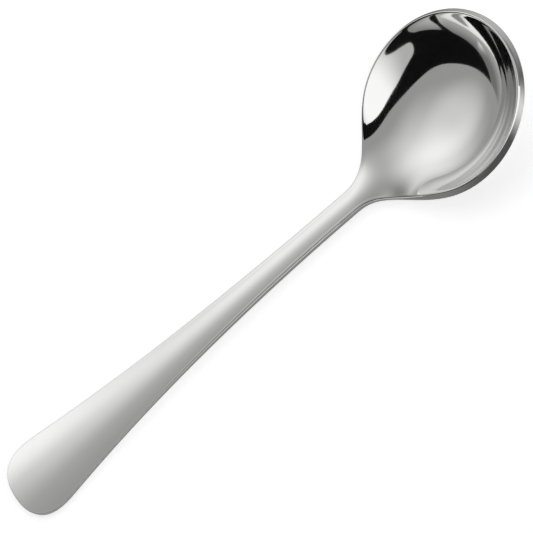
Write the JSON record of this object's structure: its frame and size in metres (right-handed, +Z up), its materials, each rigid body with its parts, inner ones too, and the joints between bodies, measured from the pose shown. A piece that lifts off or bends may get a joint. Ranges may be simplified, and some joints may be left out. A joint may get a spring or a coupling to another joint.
{
  "type": "soup spoon",
  "caption": "Round soup spoon: a wide hollow bowl with a polished rim on a narrow neck and a plain handle that widens to a rounded end.",
  "frame": {"origin": "on the table, under the middle of the spoon's length and width", "axes": "+X along the spoon from the handle's end to the bowl's tip, +Y to the left, +Z up out of the bowl"},
  "size_m": [0.1752, 0.0468, 0.016],
  "materials": {
    "polished_steel": "mirror polished"
  },
  "bodies": {
    "root": {"bowl": "polished_steel", "handle": "polished_steel"}
  },
  "joints": []
}
